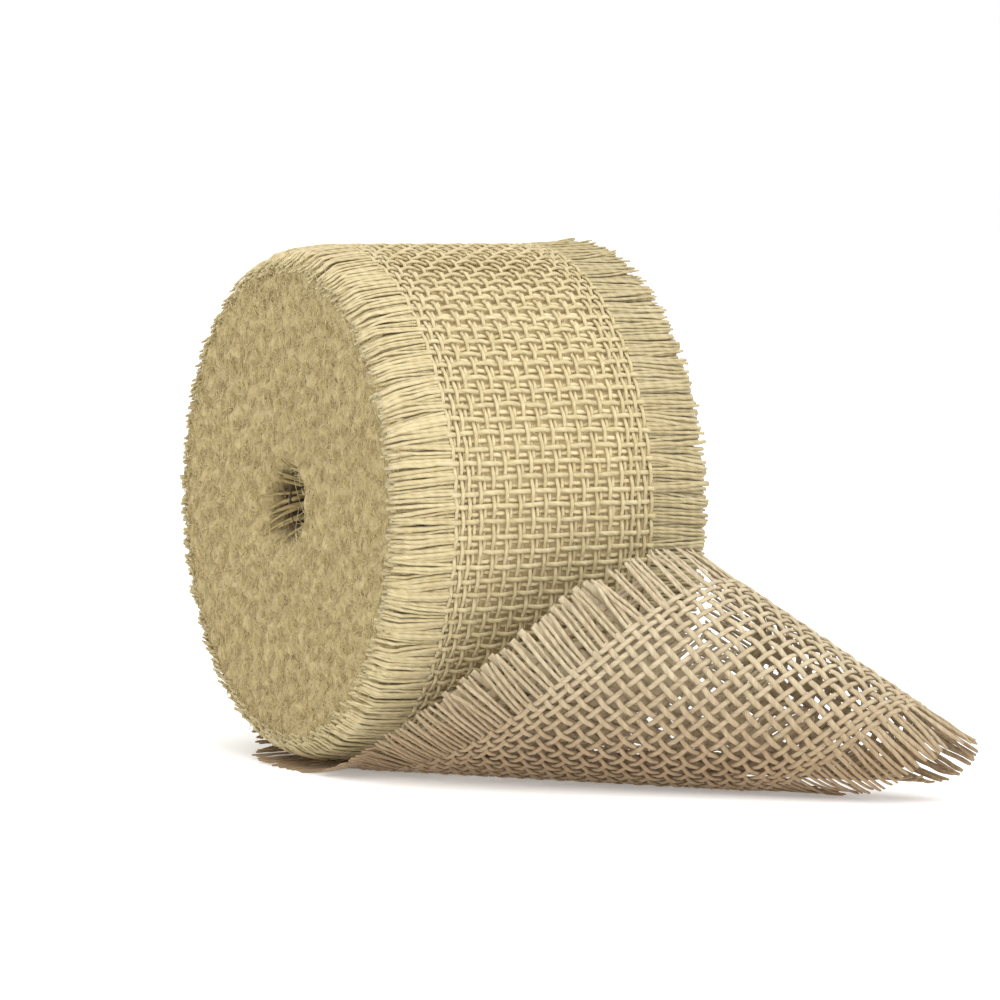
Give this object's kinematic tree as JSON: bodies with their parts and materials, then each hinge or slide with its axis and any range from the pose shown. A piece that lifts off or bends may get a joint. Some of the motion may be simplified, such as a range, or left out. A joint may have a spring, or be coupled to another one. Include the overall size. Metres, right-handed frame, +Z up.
{
  "type": "fringed ribbon roll",
  "caption": "Coreless roll of open-weave jute ribbon with frayed edges, lying on its side, its loose end drawn out flat from under the roll and then curling up and over.",
  "frame": {"origin": "on the floor under the roll's axis, halfway across the woven band, on the underside of the loose tail", "axes": "+Z up; +Y along the roll's axis, from the near fringe to the far fringe; +X the way the loose end leaves the underside of the roll"},
  "size_m": [0.1698, 0.0979, 0.1073],
  "materials": {
    "weave": "matt open plain weave of jute",
    "warp": "matt spun jute yarn",
    "fringe": "loose jute yarn ends",
    "cut_ends": "felted cut yarn ends"
  },
  "bodies": {
    "tail": {"tail_band": "weave", "tail_near_fringe": "fringe", "tail_far_fringe": "fringe"},
    "roll": {"core_turn": "weave", "wound_turns": "weave", "near_fringe_pack": "cut_ends", "far_fringe_pack": "cut_ends", "outer_turn_band": "weave", "outer_near_fringe": "fringe", "outer_far_fringe": "fringe", "near_selvage_warp_1": "warp", "near_selvage_warp_2": "warp", "near_selvage_warp_3": "warp", "body_warp_01": "warp", "body_warp_02": "warp", "body_warp_03": "warp", "body_warp_04": "warp", "body_warp_05": "warp", "body_warp_06": "warp", "body_warp_07": "warp", "body_warp_08": "warp", "body_warp_09": "warp", "body_warp_10": "warp", "body_warp_11": "warp", "body_warp_12": "warp", "far_selvage_warp_1": "warp", "far_selvage_warp_2": "warp", "far_selvage_warp_3": "warp", "far_selvage_warp_4": "warp"},
    "curl": {"curl_band": "weave", "curl_near_fringe": "fringe", "curl_far_fringe": "fringe"}
  },
  "joints": [
    {"name": "roll_turn", "type": "hinge", "parent": "tail", "child": "roll", "pos_m": [0, 0, 0.0543], "axis": [0, 1, 0], "continuous": true},
    {"name": "curl_lift", "type": "hinge", "parent": "tail", "child": "curl", "pos_m": [0.00637, -0.02211, 0.001], "axis": [-0.809, -0.5878, 0], "range_deg": [0, 9], "stiffness_Nm_per_rad": 0.05}
  ]
}
